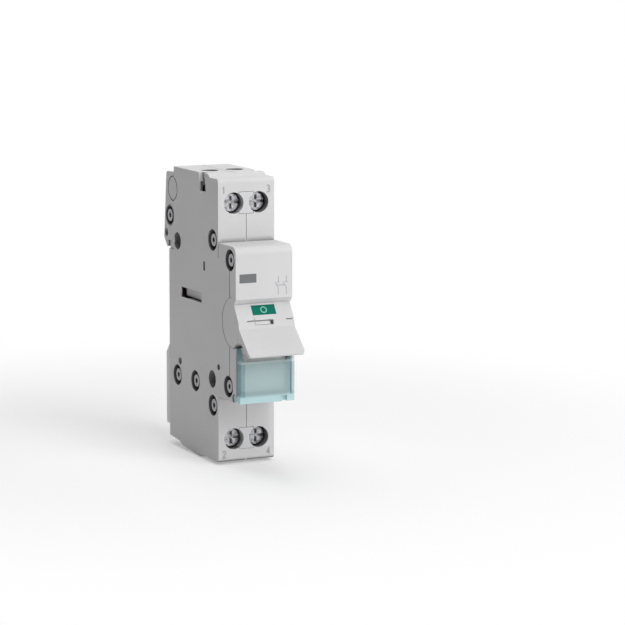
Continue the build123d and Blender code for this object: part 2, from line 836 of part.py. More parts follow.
# Moving contact bars with a contact pad near each end
pad_line = contact_half_length - contact_pad_height / 2 + seam_gap
for number, x in poles.items():
    with BuildPart() as bar:
        with BuildSketch(bar_plane(x - contact_width / 2)):
            Rectangle(contact_thickness, 2 * contact_half_length)
        extrude(amount=contact_width)
        with BuildSketch(bar_plane(x - contact_pad_width / 2)):
            with Locations((contact_thickness / 2, pad_line)):
                Rectangle(contact_pad, contact_pad_height - contact_pad_step, align=(Align.MIN, Align.CENTER))
            with Locations((-contact_thickness / 2, -pad_line)):
                Rectangle(contact_pad, contact_pad_height - contact_pad_step, align=(Align.MAX, Align.CENTER))
        extrude(amount=contact_pad_width)
    save(bar.part, f"moving_contact_{number}")

# Fixed contacts, bent strips that run from a pad to the terminal
pad_face = rotor[0] + contact_thickness / 2 + contact_pad + contact_gap
leg_front = pad_face + contact_pad
leg_low = drum[1] + leg_start
bend_height = rotor[1] + contact_half_length + strip_thickness + bend_clearance
lower_pad_face = rotor[0] - contact_thickness / 2 - contact_pad - contact_gap
for number, x in poles.items():
    with BuildPart() as upper_contact:
        with BuildSketch(side_plane(x - strip_width / 2)):
            with BuildLine():
                Polyline(
                    (strip_front, top - upper_guide_length - rail_clearance),
                    (strip_front, bend_height - strip_thickness),
                    (leg_front, bend_height - strip_thickness),
                    (leg_front, leg_low),
                    (leg_front + strip_thickness, leg_low),
                    (leg_front + strip_thickness, bend_height),
                    (strip_rear, bend_height),
                    (strip_rear, top - upper_guide_length - rail_clearance),
                    (strip_front, top - upper_guide_length - rail_clearance),
                )
            make_face()
        extrude(amount=strip_width)
        with BuildSketch(side_plane(x - contact_pad_width / 2)):
            with Locations((leg_front, rotor[1] + pad_line)):
                Rectangle(contact_pad, contact_pad_height, align=(Align.MAX, Align.CENTER))
        extrude(amount=contact_pad_width)
    save(upper_contact.part, f"upper_contact_{number}")
    with BuildPart() as lower_contact:
        low = bottom + lower_guide_length + strip_thickness
        high = rotor[1] - pad_line + contact_pad_height / 2 + strip_overrun
        with BuildSketch(side_plane(x - strip_width / 2)):
            with Locations((strip_front, low)):
                Rectangle(strip_thickness, high - low, align=(Align.MIN, Align.MIN))
        extrude(amount=strip_width)
        with BuildSketch(side_plane(x - contact_pad_width / 2)):
            with Locations((strip_rear, rotor[1] - pad_line)):
                Rectangle(
                    lower_pad_face - strip_rear, contact_pad_height, align=(Align.MIN, Align.CENTER)
                )
        extrude(amount=contact_pad_width)
    save(lower_contact.part, f"lower_contact_{number}")

# Terminal screws and the cages they pull, counted as the terminals are numbered
terminals = {
    1: (-pole, upper_screw_height),
    2: (-pole, lower_screw_height),
    3: (pole, upper_screw_height),
    4: (pole, lower_screw_height),
}
head_front = front + head_recess
for number, place in terminals.items():
    with BuildPart() as screw:
        with BuildSketch(depth_plane(head_front)):
            with Locations(place):
                Circle(head_radius)
        extrude(amount=-head_thickness)
        chamfer(screw.faces().sort_by(Axis.Y)[0].edges(), mark_depth)
        with BuildSketch(depth_plane(head_front + head_thickness)):
            with Locations(place):
                Circle(screw_radius)
        extrude(amount=-screw_length)
        chamfer(screw.faces().sort_by(Axis.Y)[-1].edges(), mark_depth)
        with BuildSketch(depth_plane(head_front)):
            with Locations(place):
                Rectangle(3 * head_radius, head_slot)
                Rectangle(head_slot, head_radius + head_slot)
        extrude(amount=-head_slot_depth, mode=Mode.SUBTRACT)
    save(screw.part, f"terminal_screw_{number}")

    with BuildPart() as cage:
        with BuildSketch(Plane.XY.offset(place[1] - cage_height / 2)):
            with Locations((place[0], cage_front + cage_depth / 2)):
                Rectangle(cage_width, cage_depth)
                Rectangle(cage_width - 2 * cage_wall, cage_depth - 2 * cage_nut, mode=Mode.SUBTRACT)
        extrude(amount=cage_height)
        with BuildSketch(depth_plane(cage_front)):
            with Locations(place):
                Circle(screw_radius + pin_clearance)
        extrude(amount=-cage_nut, mode=Mode.SUBTRACT)
    save(cage.part, f"terminal_cage_{number}")

# Label card and the clear cover hinged in front of it
with BuildPart() as card:
    with BuildSketch(depth_plane(nose_front + pocket_depth - label_thickness)):
        with Locations((0, nose_bottom + pocket_rise + label_gap)):
            Rectangle(
                pocket_width - 2 * label_gap, pocket_height - 2 * label_gap, align=(Align.CENTER, Align.MIN)
            )
    extrude(amount=-label_thickness)
save(card.part, "label_card")

cover_half = cover_width / 2
cover_face = nose_front - cover_front
cover_back = nose_front - cover_gap
cover_low = nose_bottom + seam_gap / 2
cover_high = cover_low + cover_height
with BuildPart() as cover:
    with BuildSketch(side_plane(-cover_half)):
        Polygon(
            (cover_face, cover_low),
            (cover_back, cover_low),
            (cover_back, cover_high + cover_ear),
            (cover_back - mark_depth, cover_high + cover_ear),
            (cover_face, cover_high),
            align=None,
        )
    extrude(amount=cover_width)
    with BuildSketch(side_plane(-cover_half + cover_wall)):
        with Locations((cover_face + cover_wall, cover_low + cover_floor)):
            Rectangle(
                cover_front, cover_height - cover_floor - cover_wall, align=(Align.MIN, Align.MIN)
            )
        with Locations((cover_face - cover_wall, cover_high)):
            Rectangle(nose_depth, 2 * cover_ear, align=(Align.MIN, Align.MIN))
    extrude(amount=cover_width - 2 * cover_wall, mode=Mode.SUBTRACT)
    for side in (-1, 1):
        with BuildSketch(side_plane(side * knuckle_inside)):
            with Locations(knuckle):
                Circle(knuckle_radius)
                Rectangle(
                    knuckle_radius + 2 * cover_gap,
                    2 * mark_depth,
                    align=(Align.MAX, Align.CENTER),
                )
        extrude(amount=side * knuckle_length)
        with BuildSketch(side_plane(side * knuckle_inside)):
            with Locations(knuckle):
                Circle(pivot_stub_radius)
        extrude(amount=-side * pivot_stub_length)
    with BuildSketch(depth_plane(cover_face)):
        with Locations((cover_half - 2 * cover_wall, cover_low)):
            Rectangle(finger_width, finger_width, align=(Align.MAX, Align.MIN))
    extrude(amount=-cover_wall, mode=Mode.SUBTRACT)
save(cover.part, "label_cover")

# Rail clip, its inner key and the spring under it
clip_front = clip_gap
clip_back = clip_front + clip_thickness
clip_edge = clip_overlap - rail_edge
rail_line = slot_depth - clip_bite
key_front = -wall - seam_gap
with BuildPart() as clip:
    with BuildSketch(side_plane(-clip_width / 2)):
        Polygon(
            (clip_front, clip_bottom),
            (clip_back - mark_depth, clip_bottom),
            (clip_back, clip_bottom + mark_depth * 3),
            (clip_back, clip_edge - clip_nose),
            (rail_line + mark_depth, clip_edge),
            (rail_line, clip_edge),
            (rail_line, -rail_edge - clip_gap),
            (clip_front, -rail_edge - clip_gap),
            align=None,
        )
    extrude(amount=clip_width)
    with BuildSketch(side_plane(-neck_half_width)):
        with Locations((clip_front, key_top)):
            Rectangle(clip_front - key_front, key_height, align=(Align.MAX, Align.MAX))
    extrude(amount=2 * neck_half_width)
    with BuildSketch(side_plane(-head_half_width)):
        Polygon(
            (key_front, key_top),
            (key_front - key_thickness, key_top),
            (key_front - key_thickness, key_top - key_height + key_foot),
            (key_front - 2 * spring_radius - spring_wire, key_top - key_height + key_foot / 2),
            (key_front - 2 * spring_radius - spring_wire, key_top - key_height),
            (key_front, key_top - key_height),
            align=None,
        )
    extrude(amount=2 * head_half_width)
    with BuildSketch(depth_plane(clip_back + wall)):
        with Locations((0, clip_bottom + driver_slot / 2)):
            Rectangle(driver_slot, driver_slot_height)
    extrude(amount=clip_thickness + wall, mode=Mode.SUBTRACT)
save(clip.part, "rail_clip")

spring_length = key_top - key_height - floor_line - 2 * pin_clearance
spring_line = key_front - spring_radius - spring_wire / 2
with BuildPart() as clip_spring:
    with BuildLine() as coil:
        Helix(
            pitch=(spring_length - spring_wire) / spring_turns,
            height=spring_length - spring_wire,
            radius=spring_radius,
            center=(0, spring_line, floor_line + pin_clearance + spring_wire / 2),
        )
    with BuildSketch(Plane(origin=coil.line @ 0, z_dir=coil.line % 0)):
        Circle(spring_wire / 2)
    sweep(path=coil.line)
save(clip_spring.part, "rail_clip_spring")

# Rivets through both shells, each with two flat heads
for number, place in enumerate(rivet_places, start=1):
    seat = half - rivet_seat_depth
    with BuildPart() as rivet:
        with BuildSketch(side_plane(-seat)):
            with Locations(place):
                Circle(rivet_radius)
        extrude(amount=2 * seat)
        for side in (-1, 1):
            with BuildSketch(side_plane(side * seat)):
                with Locations(place):
                    Circle(rivet_head_radius)
            extrude(amount=side * rivet_head_thickness)
            with BuildSketch(side_plane(side * (seat + rivet_head_thickness))):
                with Locations(place):
                    Circle(rivet_bore)
            extrude(amount=-side * rivet_bore_depth, mode=Mode.SUBTRACT)
    save(rivet.part, f"rivet_{number}")
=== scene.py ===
# %% [markdown]
# A slim isolating switch for a rail, dressed for its portrait. The CAD model already holds
# every solid at its real size, so this lesson adds what a moulding tool and a printer add:
# grain, gloss, print and small marks. First the frame is loaded, and its box is kept for the
# floor and the lamps.

import json
from math import cos, radians, sin

import bpy
import numpy as np
from mathutils import Matrix, Vector


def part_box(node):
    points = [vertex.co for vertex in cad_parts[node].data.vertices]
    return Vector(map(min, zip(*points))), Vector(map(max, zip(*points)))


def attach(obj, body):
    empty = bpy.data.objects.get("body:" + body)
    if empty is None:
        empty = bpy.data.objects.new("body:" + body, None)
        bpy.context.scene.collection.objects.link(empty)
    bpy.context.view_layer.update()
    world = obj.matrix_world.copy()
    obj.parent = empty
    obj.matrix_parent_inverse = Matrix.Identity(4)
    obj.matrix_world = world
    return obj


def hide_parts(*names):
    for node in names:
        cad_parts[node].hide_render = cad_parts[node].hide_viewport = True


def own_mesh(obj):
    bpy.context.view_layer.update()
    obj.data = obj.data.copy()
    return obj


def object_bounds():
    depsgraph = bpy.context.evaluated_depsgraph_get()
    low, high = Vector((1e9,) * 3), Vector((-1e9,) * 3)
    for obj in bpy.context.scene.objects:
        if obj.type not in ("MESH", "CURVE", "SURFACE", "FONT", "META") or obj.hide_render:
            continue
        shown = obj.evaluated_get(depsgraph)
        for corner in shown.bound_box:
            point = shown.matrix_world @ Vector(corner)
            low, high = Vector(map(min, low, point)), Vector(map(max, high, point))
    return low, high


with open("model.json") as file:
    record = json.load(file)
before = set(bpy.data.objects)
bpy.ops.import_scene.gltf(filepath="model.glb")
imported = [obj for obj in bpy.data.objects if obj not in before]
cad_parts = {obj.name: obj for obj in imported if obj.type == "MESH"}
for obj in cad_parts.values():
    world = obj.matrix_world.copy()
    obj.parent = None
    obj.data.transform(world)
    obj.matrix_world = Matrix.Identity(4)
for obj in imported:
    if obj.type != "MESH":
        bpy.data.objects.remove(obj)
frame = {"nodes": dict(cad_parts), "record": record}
cad_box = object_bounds()
MM = 0.001
nodes = frame["nodes"]
print("nodes", len(nodes), "box", cad_box)

# %% [markdown]
# The faces that print and marks lie on are read from the CAD nodes. The two housing halves
# give the nose and the side walls, and the flags give their own places. Where on a face the
# print lies was measured in the photograph, and each later cell names its own measures.

# %% Read the places from the frame
left_low, left_high = (np.array(corner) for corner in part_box("housing_left"))
_, right_high = (np.array(corner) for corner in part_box("housing_right"))
side_x = right_high[0]
nose_y = left_low[1]
bottom_z = left_low[2]
top_z = left_high[2]
print("half width", side_x, "nose", nose_y, "bottom", bottom_z, "top", top_z)

# %% [markdown]
# Round wells lie round the rivets, over the terminal screws, at the accessory holes and at
# the wire entries. Each is told by its centre and its radius, and its list tells its axis, so
# that shade can be painted into the plastic in it.


# %% Read the wells from the frame
def face_depth(node_name, above):
    """Depth of the node's foremost face that looks forward and lies above a height."""
    straight_ahead = -0.99
    return min(
        face.center.y for face in nodes[node_name].data.polygons
        if face.normal.y < straight_ahead and face.center.z > above
    )


above_nose = 25 * MM
terminal_y = face_depth("housing_left", above_nose)
rivet_well, screw_well = 3.1 * MM, 3.05 * MM
well_skin, well_reach = 0.12 * MM, 6.0 * MM
side_wells, front_wells, end_wells = [], [], []
for node_name in nodes:
    middle = sum(np.array(corner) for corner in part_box(node_name)) / 2
    if node_name.startswith("rivet"):
        side_wells.append((middle, rivet_well))
    if node_name.startswith("terminal_screw"):
        front_wells.append((middle, screw_well))
for mount in frame["record"]["mounts"]:
    if mount["kind"] == "bore":
        wells = side_wells if mount["name"].startswith("accessory") else end_wells
        wells.append((np.array(mount["pos_m"]), mount["dims"]["r_mm"] * MM))
print("wells", len(side_wells), "on the sides,", len(front_wells), "in front,",
      len(end_wells), "at the ends")

# %% [markdown]
# A material is a short recipe: a base colour, a roughness, and a fine relief, and painted shade
# darkens its colour in recesses. Moulded plastic takes its grain from the spark-eroded mould, so
# the relief is a small noise in Object coordinates, which stays still when the part moves and
# costs no picture files.


# %% Helpers for materials
tone_start, tone_end = 0.35, 0.65
# Painted shade in recesses: the occlusion's samples and range, the seam and the notch where it is
# kept lighter, and how dark the wells are painted.
recess_samples, recess_start, recess_end = 8, 0.3, 0.85
seam_half, painted_well_shade = 0.2 * MM, 0.62
notch_depth, notch_half = -23.65 * MM, 2.3 * MM
notch_floor, notch_share = 34.2 * MM, 0.45


def linear(red, green, blue):
    """The linear colour of an sRGB colour given in 0 to 255."""
    srgb = np.array([red, green, blue]) / 255
    low = srgb / 12.92
    high = ((srgb + 0.055) / 1.055) ** 2.4
    return (*np.where(srgb <= 0.04045, low, high).tolist(), 1.0)


def new_material(name, colour, roughness, metallic=0.0):
    """A material with its plain values on the shader's own sockets, and its node tree."""
    material = bpy.data.materials.new(name)
    material.use_nodes = True
    tree = material.node_tree
    shader = tree.nodes["Principled BSDF"]
    shader.inputs["Base Color"].default_value = colour
    shader.inputs["Roughness"].default_value = roughness
    shader.inputs["Metallic"].default_value = metallic
    return material, tree, shader


def add_noise(tree, scale, detail=4.0, stretch=(1, 1, 1)):
    """A noise in Object coordinates, stretched along the axes."""
    place = tree.nodes.new("ShaderNodeTexCoord")
    turn = tree.nodes.new("ShaderNodeMapping")
    turn.inputs["Scale"].default_value = stretch
    noise = tree.nodes.new("ShaderNodeTexNoise")
    noise.inputs["Scale"].default_value = scale
    noise.inputs["Detail"].default_value = detail
    tree.links.new(place.outputs["Object"], turn.inputs["Vector"])
    tree.links.new(turn.outputs["Vector"], noise.inputs["Vector"])
    return noise


def add_relief(tree, shader, noise, strength, height):
    """Bump from a noise, with its height in metres."""
    bump = tree.nodes.new("ShaderNodeBump")
    bump.inputs["Strength"].default_value = strength
    bump.inputs["Distance"].default_value = height
    tree.links.new(noise.outputs["Fac"], bump.inputs["Height"])
    tree.links.new(bump.outputs["Normal"], shader.inputs["Normal"])


def tint(tree, shader, noise, dark, light, **shading):
    """Base colour that wanders between two tones by a noise: on plastic the drift of a real batch,
    on metal a painted reflection mottle. Painted shade then darkens it in recesses.
    """
    ramp = tree.nodes.new("ShaderNodeValToRGB")
    stops = ((tone_start, dark), (tone_end, light))
    for element, (position, colour) in zip(ramp.color_ramp.elements, stops):
        element.position = position
        element.color = colour
    tree.links.new(noise.outputs["Fac"], ramp.inputs["Fac"])
    # Painted shade darkens the colour in holes, gaps and inner corners.
    shade_recesses(tree, ramp.outputs["Color"], shader, **shading)


def shade_recesses(tree, colour, shader, reach=2.2 * MM, darkest=0.1, wells=None):
    """Paints shade into a colour where the surface lies in a hole, a gap or an inner corner, where
    little light comes back out: an occlusion node sets how dark the painted shade is. The wells
    are a further share of painted shade."""
    cover = tree.nodes.new("ShaderNodeAmbientOcclusion")
    cover.samples = recess_samples
    cover.inputs["Distance"].default_value = reach
    spread = tree.nodes.new("ShaderNodeMapRange")
    spread.inputs["From Min"].default_value = recess_start
    spread.inputs["From Max"].default_value = recess_end
    spread.inputs["To Min"].default_value = darkest
    spread.inputs["To Max"].default_value = 1.0
    darker = tree.nodes.new("ShaderNodeVectorMath")
    darker.operation = "SCALE"
    tree.links.new(cover.outputs["AO"], spread.inputs["Value"])
    share = spread.outputs["Result"]
    if wells is not None:
        share = calculate(tree, "MAXIMUM", share, near_seam(tree))
        share = calculate(tree, "MULTIPLY", share, wells(tree))
    tree.links.new(share, darker.inputs["Scale"])
    tree.links.new(colour, darker.inputs[0])
    tree.links.new(darker.outputs["Vector"], shader.inputs["Base Color"])


def calculate(tree, operation, first, second):
    """One step of arithmetic: each operand is a socket or a plain number."""
    step = tree.nodes.new("ShaderNodeMath")
    step.operation = operation
    for socket, operand in zip(step.inputs, (first, second)):
        if isinstance(operand, bpy.types.NodeSocket):
            tree.links.new(operand, socket)
        else:
            socket.default_value = operand
    return step.outputs[0]


def object_axes(tree):
    """The Object coordinates as one vector socket and as a node with X, Y and Z."""
    place = tree.nodes.new("ShaderNodeTexCoord")
    axes = tree.nodes.new("ShaderNodeSeparateXYZ")
    tree.links.new(place.outputs["Object"], axes.inputs[0])
    return place.outputs["Object"], axes


def near_seam(tree):
    """A share that keeps the painted recess shade from turning the fine seam between the housing
    halves and the shallow notches at the top black."""
    _, axes = object_axes(tree)
    from_seam = calculate(tree, "ABSOLUTE", axes.outputs["X"], 0.0)
    seam = calculate(tree, "LESS_THAN", from_seam, seam_half)
    from_notch = calculate(tree, "SUBTRACT", axes.outputs["Y"], notch_depth)
    from_notch = calculate(tree, "ABSOLUTE", from_notch, 0.0)
    beside = calculate(tree, "LESS_THAN", from_notch, notch_half)
    high = calculate(tree, "GREATER_THAN", axes.outputs["Z"], notch_floor)
    notch = calculate(tree, "MULTIPLY", calculate(tree, "MULTIPLY", beside, high), notch_share)
    return calculate(tree, "MAXIMUM", seam, notch)


def well_shade_share(tree):
    """A share that paints shade inside the wells, where it is low: within a well's radius of its
    axis, deeper than a thin skin below the face that it opens in and, in front and at the ends,
    within a reach."""
    place, axes = object_axes(tree)
    from_seam = calculate(tree, "ABSOLUTE", axes.outputs["X"], 0.0)
    depth = axes.outputs["Y"]
    from_middle = calculate(tree, "SUBTRACT", axes.outputs["Z"], (top_z + bottom_z) / 2)
    from_middle = calculate(tree, "ABSOLUTE", from_middle, 0.0)
    half_height = (top_z - bottom_z) / 2
    inside = 0.0
    for wells, kept, value, low, high in (
        (side_wells, (0, 1, 1), from_seam, -side_x, side_x - well_skin),
        (front_wells, (1, 0, 1), depth, terminal_y + well_skin, terminal_y + well_reach),
        (end_wells, (1, 1, 0), from_middle, half_height - well_reach, half_height - well_skin),
    ):
        beyond = calculate(tree, "GREATER_THAN", value, low)
        deep = calculate(tree, "MULTIPLY", beyond, calculate(tree, "LESS_THAN", value, high))
        flat = tree.nodes.new("ShaderNodeVectorMath")
        flat.operation = "MULTIPLY"
        flat.inputs[1].default_value = kept
        tree.links.new(place, flat.inputs[0])
        for middle, radius in wells:
            away = tree.nodes.new("ShaderNodeVectorMath")
            away.operation = "DISTANCE"
            away.inputs[1].default_value = middle * kept
            tree.links.new(flat.outputs["Vector"], away.inputs[0])
            near = calculate(tree, "LESS_THAN", away.outputs["Value"], radius + well_skin)
            inside = calculate(tree, "MAXIMUM", inside, calculate(tree, "MULTIPLY", near, deep))
    return calculate(tree, "SUBTRACT", 1.0, calculate(tree, "MULTIPLY", inside, painted_well_shade))


# %% [markdown]
# The housing is a light grey thermoset. It is matt, but not chalky, and its tone drifts a
# little across the part. One function makes each of the moulded plastics, because they
# differ only in colour, gloss and coarseness of grain.


# %% Moulded plastics
drift_scale, drift_detail = 60.0, 2.0
grain_detail, grain_strength, grain_height = 3.0, 0.25, 0.03 * MM


def moulded_plastic(name, colour, roughness, grain, drift=0.012, gloss=0.5, **shading):
    """Plastic with a mould's grain and a slow drift of tone."""
    base = linear(*colour)
    material, tree, shader = new_material(name, base, roughness)
    shader.inputs["Specular IOR Level"].default_value = gloss
    slow = add_noise(tree, drift_scale, drift_detail)
    dark = tuple(max(channel - drift, 0) for channel in base[:3]) + (1.0,)
    light = tuple(channel + drift for channel in base[:3]) + (1.0,)
    tint(tree, shader, slow, dark, light, **shading)
    fine = add_noise(tree, grain, grain_detail)
    add_relief(tree, shader, fine, grain_strength, grain_height)
    return material


# Every plastic takes painted shade in its recesses; the housing takes painted shade in its wells
# as well.
finishes = {
    "housing": moulded_plastic("housing_plastic", (208, 207, 208), 0.55, 5200.0, wells=well_shade_share),
    "partition": moulded_plastic("partition_plastic", (206, 206, 208), 0.5, 5200.0),
    "toggle": moulded_plastic("toggle_plastic", (202, 202, 203), 0.45, 3000.0, 0.006, darkest=0.7),
    "off_flag": moulded_plastic(
        "green_inlay", (0, 112, 92), 0.5, 3000.0, 0.003, 0.08, darkest=0.8),
    "on_flag": moulded_plastic(
        "red_inlay", (196, 30, 30), 0.5, 3000.0, 0.003, 0.15, darkest=0.8),
    "carrier": moulded_plastic("drum_plastic", (172, 172, 174), 0.45, 5200.0, 0.004),
    "clip": moulded_plastic("clip_plastic", (222, 222, 221), 0.45, 4200.0),
    "card": moulded_plastic("label_paper", (236, 236, 233), 0.8, 7000.0, 0.006, darkest=0.7),
}
print("plastics", sorted(finishes))

# %% [markdown]
# The plated steel of the screws, cages and rivets is metal with a fine turned or drawn
# pattern. A noise that is stretched along one axis gives the streaks, and it drives the
# roughness a little, so highlights break up as they do on zinc.


# %% Metals
streak_detail, streak_strength = 5.0, 0.2
smoothest, roughest = 0.8, 1.3
# The noise of the painted reflection mottle, and the reach of painted shade on metal.
spot_scale, spot_detail, metal_reach = 1500.0, 3.0, 1.2 * MM


def plated_metal(
    name, colour, roughness, scale, stretch, height=0.02 * MM, reflection_mottle=0.0, darkest=0.05
):
    """Metal whose streaky noise moves the roughness and the relief. A second noise darkens the
    colour in patches by a given share: painted reflection that stands in for the mottled
    highlights of a plated head. Painted shade darkens it in recesses."""
    light = linear(*colour)
    material, tree, shader = new_material(name, light, roughness, 1.0)
    noise = add_noise(tree, scale, streak_detail, stretch)
    spread = tree.nodes.new("ShaderNodeMapRange")
    spread.inputs["To Min"].default_value = roughness * smoothest
    spread.inputs["To Max"].default_value = roughness * roughest
    tree.links.new(noise.outputs["Fac"], spread.inputs["Value"])
    tree.links.new(spread.outputs["Result"], shader.inputs["Roughness"])
    add_relief(tree, shader, noise, streak_strength, height)
    # Painted reflection: random darker patches stand in for the mottled highlights of the head.
    dark = tuple(channel * (1 - reflection_mottle) for channel in light[:3]) + (1.0,)
    patches = add_noise(tree, spot_scale, spot_detail)
    tint(tree, shader, patches, dark, light, reach=metal_reach, darkest=darkest)
    return material


finishes["screw"] = plated_metal(
    "zinc_screw", (190, 190, 194), 0.26, 900.0, (1, 6, 1), 0.1 * MM, reflection_mottle=0.58, darkest=0.6
)
finishes["cage"] = plated_metal("zinc_cage", (196, 196, 194), 0.36, 500.0, (1, 1, 8))
finishes["rivet"] = plated_metal(
    "rivet_steel", (156, 156, 159), 0.42, 1400.0, (6, 1, 1), reflection_mottle=0.25, darkest=0.7
)
finishes["link"] = plated_metal("link_steel", (176, 176, 176), 0.36, 400.0, (1, 8, 1))
finishes["steel"] = plated_metal("spring_steel", (170, 170, 172), 0.3, 800.0, (1, 1, 6))
finishes["copper"] = plated_metal("contact_copper", (206, 148, 112), 0.3, 500.0, (1, 1, 8))
print("metals", [name for name, finish in finishes.items()
                 if finish.name.endswith(("steel", "screw", "cage", "copper"))])

# %% [markdown]
# The label cover is clear plastic with a blue-green tint. Full glass would be slow and would
# show nothing in the exported model, so the tint is see-through by alpha: the card behind it
# still reads through. Clear mouldings carry light along their walls, so the thick floor and
# the top edge shine, and the inner faces of the side walls read as darker lines. This light
# and shade is painted: bands of painted highlight and painted shade are laid over the tint by
# the distance from the middle and by the height.


# %% Clear cover
def band(tree, value, start, end, soft):
    """One between two values of a coordinate and zero outside, with soft sides."""
    sides = []
    for edge, sign in ((start, 1), (end, -1)):
        ramp = tree.nodes.new("ShaderNodeMapRange")
        ramp.interpolation_type = "SMOOTHSTEP"
        ramp.inputs["From Min"].default_value = edge - sign * soft
        ramp.inputs["From Max"].default_value = edge + sign * soft
        tree.links.new(value, ramp.inputs["Value"])
        sides.append(ramp.outputs["Result"])
    return calculate(tree, "MULTIPLY", *sides)


def lay_over(tree, under, mask, colour):
    """A colour laid over another where the mask is one. The mix node keeps the sockets of
    its other data types too, so those for colours have high numbers."""
    factor_socket, under_socket, over_socket, result_socket = 0, 6, 7, 2
    mix = tree.nodes.new("ShaderNodeMix")
    mix.data_type = "RGBA"
    mix.inputs[over_socket].default_value = colour
    tree.links.new(mask, mix.inputs[factor_socket])
    tree.links.new(under, mix.inputs[under_socket])
    return mix.outputs[result_socket]


cover_low, cover_high = (np.array(corner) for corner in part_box("label_cover"))
cover_half, cover_floor = cover_high[0], cover_low[2]
clear_tint, clear_roughness, clear_ior = linear(190, 216, 219), 0.12, 1.49
cover_material, cover_tree, cover_shader = new_material(
    "clear_blue_plastic", clear_tint, clear_roughness
)
cover_shader.inputs["IOR"].default_value = clear_ior
_, cover_axes = object_axes(cover_tree)
across = calculate(cover_tree, "ABSOLUTE", cover_axes.outputs["X"], 0.0)
height = cover_axes.outputs["Z"]
tint_colour = cover_tree.nodes.new("ShaderNodeRGB")
tint_colour.outputs["Color"].default_value = clear_tint
wall_line = cover_half - 1.15 * MM
window_top = cover_floor + 11.8 * MM
# Each band of painted highlight or painted shade: the coordinate, where it starts and ends, how
# soft its sides are, and its colour.
cover_light_bands = [
    (across, wall_line, cover_half + MM, 0.05 * MM, linear(160, 196, 204)),
    (across, wall_line - 0.25 * MM, wall_line + 0.2 * MM, 0.12 * MM, linear(112, 166, 176)),
    (height, cover_floor - MM, cover_floor + 2.0 * MM, 0.25 * MM, linear(196, 228, 232)),
    (height, window_top - 0.5 * MM, window_top + 0.2 * MM, 0.15 * MM, linear(224, 240, 242)),
]
layered = tint_colour.outputs["Color"]
for value, start, end, soft, colour in cover_light_bands:
    layered = lay_over(cover_tree, layered, band(cover_tree, value, start, end, soft), colour)
cover_tree.links.new(layered, cover_shader.inputs["Base Color"])
fade_low, fade_high = cover_floor + 1.6 * MM, cover_floor + 2.6 * MM
floor_alpha, window_alpha = 0.75, 0.42
solidity = cover_tree.nodes.new("ShaderNodeMapRange")
solidity.inputs["From Min"].default_value = fade_low
solidity.inputs["From Max"].default_value = fade_high
solidity.inputs["To Min"].default_value = floor_alpha
solidity.inputs["To Max"].default_value = window_alpha
cover_tree.links.new(height, solidity.inputs["Value"])
cover_tree.links.new(solidity.outputs["Result"], cover_shader.inputs["Alpha"])
ripple_scale, ripple_detail, ripple_strength, ripple_height = 160.0, 2.0, 0.12, 0.05 * MM
ripple = add_noise(cover_tree, ripple_scale, ripple_detail)
add_relief(cover_tree, cover_shader, ripple, ripple_strength, ripple_height)
cover_material.surface_render_method = "BLENDED"
finishes["cover"] = cover_material
print("cover", len(cover_light_bands), "bands, wall line at", wall_line)

# %% [markdown]
# The record gives every CAD node a material slot, and each slot has one finish from the
# recipes above. So the painting is one loop over the nodes.

# %% Paint the CAD nodes
slot_of = {part["node"]: part["material_slot"] for part in frame["record"]["subparts"]}
for node_name, piece in nodes.items():
    for material_slot in piece.material_slots:
        material_slot.material = finishes[slot_of[node_name]]
print("painted", len(slot_of))

# %% [markdown]
# The print on the nose, the flags' marks and the numerals are thin ribbons: a small flat
# profile that is carried along a path. The path's points are pushed sideways by half the
# line's width, and the ribbon gets a top and walls, so it is a closed body that survives any
# export.


# %% Ribbons
def ribbon(path, width, height, closed=False):
    """Vertices and faces of a flat bar along a path in a plane: at each point the mean of
    the two neighbouring directions is turned a quarter, scaled to half the width over the
    cosine of half the bend, and added on both sides at the base and at the height."""
    least_cosine = 0.5
    path = np.asarray(path, float)
    ahead = np.roll(path, -1, axis=0) - path
    if not closed:
        ahead[-1] = ahead[-2]
    ahead /= np.linalg.norm(ahead, axis=1, keepdims=True)
    behind = np.roll(ahead, 1, axis=0)
    if not closed:
        behind[0] = ahead[0]
    mean = ahead + behind
    mean /= np.linalg.norm(mean, axis=1, keepdims=True)
    side = np.stack([-mean[:, 1], mean[:, 0]], axis=1)
    cosine = np.clip(np.sum(mean * ahead, axis=1, keepdims=True), least_cosine, 1)
    spread = width / 2 / cosine
    left, right = path + side * spread, path - side * spread
    low, high = np.zeros((len(path), 1)), np.full((len(path), 1), height)
    edges = ((left, low), (left, high), (right, high), (right, low))
    rings = np.stack([np.hstack(edge) for edge in edges], axis=1)
    count = len(path)
    index = np.arange(count * 4).reshape(count, 4)
    follow = np.roll(index, -1, axis=0)
    last = count if closed else count - 1
    faces = []
    for edge in range(4):
        other = (edge + 1) % 4
        loops = [index[:, edge], index[:, other], follow[:, other], follow[:, edge]]
        faces += np.stack(loops, axis=1)[:last].tolist()
    if not closed:
        faces += [index[0][::-1].tolist(), index[-1].tolist()]
    return rings.reshape(-1, 3), faces


def tube_faces(count, sides):
    """Faces of a tube given ring by ring: quads between the rings and a cap at each end."""
    index = np.arange(count * sides).reshape(count, sides)
    beside = np.roll(index, -1, axis=1)
    quads = np.stack([index[:-1], beside[:-1], beside[1:], index[1:]], axis=2).reshape(-1, 4)
    return quads.tolist() + [index[0][::-1].tolist(), index[-1].tolist()]


